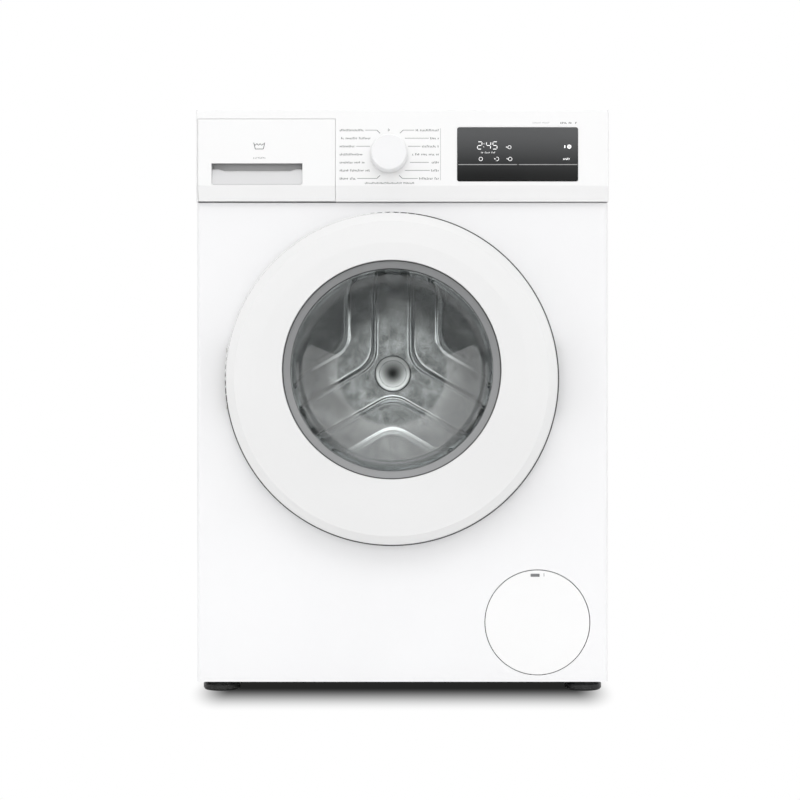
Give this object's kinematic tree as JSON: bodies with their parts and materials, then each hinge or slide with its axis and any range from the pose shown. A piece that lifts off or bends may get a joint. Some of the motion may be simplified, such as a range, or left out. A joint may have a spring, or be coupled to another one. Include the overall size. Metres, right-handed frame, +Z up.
{
  "type": "front load washing machine",
  "caption": "Free-standing front-loading washing machine with a round hinged door, a detergent drawer, a program knob, a display and a spring-hung drum.",
  "frame": {"origin": "on the floor, at the centre of the machine's footprint", "axes": "+Z up; the front with the door faces -Y; +X is to the right of a person facing it"},
  "size_m": [0.598, 0.632, 0.848],
  "materials": {
    "cabinet_enamel": "white baked enamel, satin",
    "back_sheet": "galvanised sheet",
    "worktop_laminate": "white laminate on board",
    "front_plastic": "white moulded plastic, satin",
    "display_black": "black, polished",
    "base_grey": "grey moulded plastic",
    "tray_grey": "pale grey moulded plastic",
    "zinc_steel": "zinc plated",
    "cap_black": "black moulded plastic",
    "foot_black": "black, glossy",
    "tub_polymer": "filled polymer, pale grey",
    "cast_concrete": "cast concrete, rough",
    "motor_steel": "painted steel",
    "belt_rubber": "black rubber",
    "gasket_rubber": "grey rubber, matt",
    "drum_stainless": "stainless steel, polished",
    "paddle_plastic": "grey moulded plastic",
    "cast_aluminium": "die cast",
    "door_window_glass": "clear toughened glass"
  },
  "bodies": {
    "cabinet": {"side_panel_left": "cabinet_enamel", "side_panel_right": "cabinet_enamel", "front_panel": "cabinet_enamel", "rear_panel": "back_sheet", "rear_service_cover": "back_sheet", "worktop": "worktop_laminate", "base_tray": "base_grey", "top_crossbars": "back_sheet", "foot_nuts": "zinc_steel", "control_fascia": "front_plastic", "display_window": "display_black", "power_module": "base_grey", "selector_switch": "base_grey", "dispenser_housing": "base_grey", "inlet_valve": "base_grey", "pump_housing": "base_grey", "drain_pipe": "base_grey", "door_lock": "base_grey", "hinge_bracket": "zinc_steel", "hinge_pin": "zinc_steel", "damper_tubes": "cap_black", "transit_bolt_caps": "cap_black", "mains_gland": "cap_black", "cabinet_screws": "zinc_steel"},
    "tub": {"tub_front": "tub_polymer", "tub_rear": "tub_polymer", "front_counterweight": "cast_concrete", "top_counterweight": "cast_concrete", "heater": "zinc_steel", "bearings": "zinc_steel", "motor_housing": "motor_steel", "drive_belt": "belt_rubber", "damper_rods": "zinc_steel", "door_gasket": "gasket_rubber", "suspension_springs": "zinc_steel", "sump_hose": "belt_rubber", "dispenser_hose": "belt_rubber"},
    "drum": {"drum_shell": "drum_stainless", "drum_front_ring": "drum_stainless", "drum_rear_panel": "drum_stainless", "drum_paddles": "paddle_plastic", "drum_spider": "cast_aluminium", "drum_pulley": "cast_aluminium"},
    "rotor": {"motor_rotor": "motor_steel"},
    "door": {"door_outer_ring": "front_plastic", "door_inner_frame": "base_grey", "door_glass": "door_window_glass", "door_hinge_arm": "zinc_steel"},
    "hook": {"door_hook": "zinc_steel"},
    "drawer": {"drawer_front": "front_plastic", "drawer_tray": "tray_grey", "siphon_cap": "tray_grey"},
    "knob": {"program_knob": "front_plastic"},
    "flap": {"service_flap": "front_plastic"},
    "filter": {"pump_filter": "base_grey"},
    "impeller": {"pump_impeller": "base_grey"},
    "foot_front_left": {"foot_front_left": "foot_black"},
    "foot_front_right": {"foot_front_right": "foot_black"},
    "foot_rear_left": {"foot_rear_left": "foot_black"},
    "foot_rear_right": {"foot_rear_right": "foot_black"}
  },
  "joints": [
    {"name": "door_swing", "type": "hinge", "parent": "cabinet", "child": "door", "pos_m": [-0.2465, -0.294, 0.4556], "axis": [0, 0, -1], "range_deg": [0, 150]},
    {"name": "hook_tilt", "type": "hinge", "parent": "door", "child": "hook", "pos_m": [0.19, -0.288, 0.456], "axis": [0, 0, 1], "range_deg": [0, 6], "stiffness_Nm_per_rad": 0.3},
    {"name": "tub_bounce", "type": "slide", "parent": "cabinet", "child": "tub", "axis": [0, 0, 1], "range_m": [-0.01, 0.01], "stiffness_N_per_m": 12000, "springref_m": 0.0302, "deforming": ["door_gasket", "suspension_springs", "sump_hose", "dispenser_hose"]},
    {"name": "drum_spin", "type": "hinge", "parent": "tub", "child": "drum", "pos_m": [-0.0155, 0, 0.4685], "axis": [0, 1, 0], "continuous": true},
    {"name": "motor_spin", "type": "hinge", "parent": "tub", "child": "rotor", "pos_m": [-0.0155, 0.15, 0.13], "axis": [0, 1, 0], "continuous": true},
    {"name": "drawer_slide", "type": "slide", "parent": "cabinet", "child": "drawer", "axis": [0, -1, 0], "range_m": [0, 0.2]},
    {"name": "knob_turn", "type": "hinge", "parent": "cabinet", "child": "knob", "pos_m": [-0.0196, -0.29, 0.781], "axis": [0, 1, 0], "continuous": true},
    {"name": "flap_swing", "type": "hinge", "parent": "cabinet", "child": "flap", "pos_m": [0.1963, -0.267, 0.02], "axis": [1, 0, 0], "range_deg": [0, 90]},
    {"name": "filter_turn", "type": "hinge", "parent": "cabinet", "child": "filter", "pos_m": [0.196, -0.22, 0.085], "axis": [0, 1, 0], "range_deg": [0, 180]},
    {"name": "impeller_spin", "type": "hinge", "parent": "cabinet", "child": "impeller", "pos_m": [0.196, -0.12, 0.085], "axis": [0, 1, 0], "continuous": true},
    {"name": "front_left_foot_screw", "type": "slide", "parent": "cabinet", "child": "foot_front_left", "axis": [0, 0, -1], "range_m": [0, 0.012]},
    {"name": "front_right_foot_screw", "type": "slide", "parent": "cabinet", "child": "foot_front_right", "axis": [0, 0, -1], "range_m": [0, 0.012]},
    {"name": "rear_left_foot_screw", "type": "slide", "parent": "cabinet", "child": "foot_rear_left", "axis": [0, 0, -1], "range_m": [0, 0.012]},
    {"name": "rear_right_foot_screw", "type": "slide", "parent": "cabinet", "child": "foot_rear_right", "axis": [0, 0, -1], "range_m": [0, 0.012]}
  ],
  "couplings": [
    {"joint": "motor_spin", "follows": "drum_spin", "ratio": 13.5}
  ]
}
